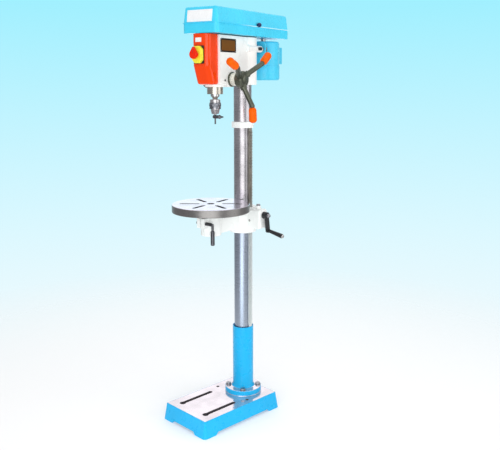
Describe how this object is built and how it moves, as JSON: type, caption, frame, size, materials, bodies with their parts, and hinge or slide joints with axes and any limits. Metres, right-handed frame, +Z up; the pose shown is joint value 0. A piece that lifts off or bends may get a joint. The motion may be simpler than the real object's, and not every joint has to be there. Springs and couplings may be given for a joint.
{
  "type": "pillar drill",
  "caption": "Floor-standing pillar drill with a ribbed base, round column, crank-lifted round slotted table, belt-driven head, quill feed arms and keyed chuck.",
  "frame": {"origin": "on the floor, midway between the two floor-bolt holes", "axes": "+Z up along the column, -Y towards the operator at the front of the base, +X to the operator's right"},
  "size_m": [0.3454, 0.6124, 1.658],
  "materials": {
    "blue_paint": "gloss paint on cast iron",
    "cover_blue": "gloss paint on pressed steel",
    "white_paint": "gloss paint on cast iron",
    "red_paint": "gloss paint on pressed steel",
    "motor_blue": "gloss paint",
    "ground_steel": "ground and oiled",
    "table_iron": "ground top, machined rim",
    "steel": "turned",
    "chuck_steel": "turned and darkened",
    "dark_iron": "dark oxide",
    "pulley_alloy": "turned",
    "bolt_steel": "dark zinc",
    "belt_rubber": "matte",
    "black_plastic": "matte",
    "orange_plastic": "gloss",
    "yellow_plastic": "satin",
    "red_plastic": "gloss",
    "cream_plastic": "satin",
    "navy_plastic": "gloss",
    "brown_plate": "printed dark, left bare"
  },
  "bodies": {
    "frame": {"base_casting": "blue_paint", "column_flange": "blue_paint", "flange_bolts": "bolt_steel", "column_tube": "ground_steel", "rack_collar": "white_paint", "collar_screw": "bolt_steel"},
    "rack": {"column_rack": "ground_steel"},
    "bracket": {"table_bracket": "white_paint", "gear_axle": "steel", "housing_plug": "bolt_steel"},
    "lift_gear": {"elevating_gear": "steel"},
    "crank": {"crank_shaft": "steel", "crank_arm": "dark_iron"},
    "handle": {"crank_handle": "black_plastic"},
    "bracket_lock": {"bracket_lock_lever": "steel"},
    "table": {"work_table": "table_iron"},
    "table_lock": {"table_lock_lever": "steel"},
    "head": {"head_casting": "white_paint", "head_set_screws": "bolt_steel", "front_cover": "red_paint", "front_cover_screws": "bolt_steel", "switch_body": "black_plastic", "switch_plate": "yellow_plastic", "speed_plate": "brown_plate", "belt_pan": "cover_blue", "lid_hinge_pins": "steel", "drive_belt": "belt_rubber", "spring_cap": "dark_iron", "return_spring": "steel", "sleeve_bearings": "steel", "feed_flange": "dark_iron"},
    "switch": {"switch_knob": "red_plastic"},
    "lid": {"belt_lid": "cover_blue", "lid_knob": "navy_plastic"},
    "drive": {"spindle_pulley": "pulley_alloy", "drive_sleeve": "steel"},
    "quill": {"quill": "ground_steel", "quill_bearings": "steel"},
    "spindle": {"spindle": "steel", "chuck_arbor": "steel", "chuck_body": "chuck_steel", "chuck_key": "chuck_steel"},
    "chuck_sleeve": {"chuck_sleeve": "chuck_steel"},
    "jaw_1": {"chuck_jaw_1": "chuck_steel"},
    "jaw_2": {"chuck_jaw_2": "chuck_steel"},
    "jaw_3": {"chuck_jaw_3": "chuck_steel"},
    "feed": {"feed_shaft": "steel", "feed_hub": "dark_iron", "feed_arms": "dark_iron", "feed_grips": "orange_plastic"},
    "dial": {"depth_dial": "cream_plastic"},
    "motor": {"motor_body": "motor_blue", "motor_fan_cover": "motor_blue", "terminal_box": "motor_blue", "cable_gland": "black_plastic", "motor_mount": "motor_blue", "slide_bars": "ground_steel"},
    "rotor": {"motor_shaft": "steel", "motor_pulley": "pulley_alloy"},
    "tension": {"tension_knob": "black_plastic"}
  },
  "joints": [
    {"name": "table_swing", "type": "hinge", "parent": "frame", "child": "rack", "pos_m": [0, 0.066, 0.8334], "axis": [0, 0, 1], "continuous": true},
    {"name": "table_lift", "type": "slide", "parent": "rack", "child": "bracket", "axis": [0, 0, 1], "range_m": [-0.4105, 0.23]},
    {"name": "gear_spin", "type": "hinge", "parent": "bracket", "child": "lift_gear", "pos_m": [0.05773, 0.07156, 0.8334], "axis": [-0.0958, 0.9954, 0], "continuous": true},
    {"name": "crank_spin", "type": "hinge", "parent": "bracket", "child": "crank", "pos_m": [0.11148, 0.07673, 0.858], "axis": [0.9954, 0.0958, 0], "continuous": true},
    {"name": "crank_handle_spin", "type": "hinge", "parent": "crank", "child": "handle", "pos_m": [0.13084, 0.08755, 0.79462], "axis": [0.9709, 0.1226, -0.2059], "continuous": true},
    {"name": "bracket_lock_turn", "type": "hinge", "parent": "bracket", "child": "bracket_lock", "pos_m": [-0.00623, 0.1307, 0.847], "axis": [0.9954, 0.0958, 0], "range_deg": [0, 100]},
    {"name": "table_turn", "type": "hinge", "parent": "bracket", "child": "table", "pos_m": [0.0185, -0.12611, 0.918], "axis": [0, 0, 1], "continuous": true},
    {"name": "table_lock_turn", "type": "hinge", "parent": "bracket", "child": "table_lock", "pos_m": [0.02329, -0.17588, 0.847], "axis": [-0.9954, -0.0958, 0], "range_deg": [0, 100]},
    {"name": "head_swing", "type": "hinge", "parent": "frame", "child": "head", "pos_m": [0, 0.066, 1.378], "axis": [0, 0, 1], "range_deg": [-90, 90]},
    {"name": "quill_feed", "type": "slide", "parent": "head", "child": "quill", "axis": [0, 0, -1], "range_m": [0, 0.08], "stiffness_N_per_m": 400, "springref_m": -0.16},
    {"name": "feed_turn", "type": "hinge", "parent": "head", "child": "feed", "pos_m": [0.07905, -0.0662, 1.399], "axis": [0.9724, 0.2334, 0], "range_deg": [0, 255]},
    {"name": "depth_dial_turn", "type": "hinge", "parent": "feed", "child": "dial", "pos_m": [0.08517, -0.06473, 1.399], "axis": [0.9724, 0.2334, 0], "continuous": true},
    {"name": "motor_slide", "type": "slide", "parent": "head", "child": "motor", "axis": [-0.2334, 0.9724, 0], "range_m": [-0.015, 0], "deforming": ["drive_belt"]},
    {"name": "motor_spin", "type": "hinge", "parent": "motor", "child": "rotor", "pos_m": [-0.03723, 0.22109, 1.576], "axis": [0, 0, 1], "continuous": true},
    {"name": "pulley_spin", "type": "hinge", "parent": "head", "child": "drive", "pos_m": [0.04505, -0.12167, 1.576], "axis": [0, 0, 1], "continuous": true},
    {"name": "spindle_spin", "type": "hinge", "parent": "quill", "child": "spindle", "pos_m": [0.04505, -0.12167, 1.344], "axis": [0, 0, 1], "continuous": true},
    {"name": "chuck_turn", "type": "hinge", "parent": "spindle", "child": "chuck_sleeve", "pos_m": [0.04505, -0.12167, 1.313], "axis": [0, 0, 1], "range_deg": [0, 900]},
    {"name": "jaw_1_slide", "type": "slide", "parent": "spindle", "child": "jaw_1", "axis": [-0.0405, 0.1689, 0.9848], "range_m": [0, 0.018]},
    {"name": "jaw_2_slide", "type": "slide", "parent": "spindle", "child": "jaw_2", "axis": [-0.126, -0.1195, 0.9848], "range_m": [0, 0.018]},
    {"name": "jaw_3_slide", "type": "slide", "parent": "spindle", "child": "jaw_3", "axis": [0.1665, -0.0493, 0.9848], "range_m": [0, 0.018]},
    {"name": "switch_turn", "type": "hinge", "parent": "head", "child": "switch", "pos_m": [0.06626, -0.21428, 1.487], "axis": [-0.2334, 0.9724, 0], "range_deg": [0, 90]},
    {"name": "lid_open", "type": "hinge", "parent": "head", "child": "lid", "pos_m": [-0.08265, 0.04616, 1.601], "axis": [0.2334, -0.9724, 0], "range_deg": [0, 100]},
    {"name": "tension_knob_turn", "type": "hinge", "parent": "head", "child": "tension", "pos_m": [0.05313, 0.10601, 1.518], "axis": [0.9724, 0.2334, 0], "continuous": true}
  ],
  "couplings": [
    {"joint": "gear_spin", "follows": "table_lift", "rad_per_m": -71.429},
    {"joint": "crank_spin", "follows": "table_lift", "rad_per_m": -500},
    {"joint": "feed_turn", "follows": "quill_feed", "rad_per_m": 55.556},
    {"joint": "pulley_spin", "follows": "motor_spin", "ratio": 0.625},
    {"joint": "spindle_spin", "follows": "motor_spin", "ratio": 0.625},
    {"joint": "jaw_2_slide", "follows": "jaw_1_slide", "ratio": 1},
    {"joint": "jaw_3_slide", "follows": "jaw_1_slide", "ratio": 1},
    {"joint": "chuck_turn", "follows": "jaw_1_slide", "rad_per_m": 872.66}
  ]
}
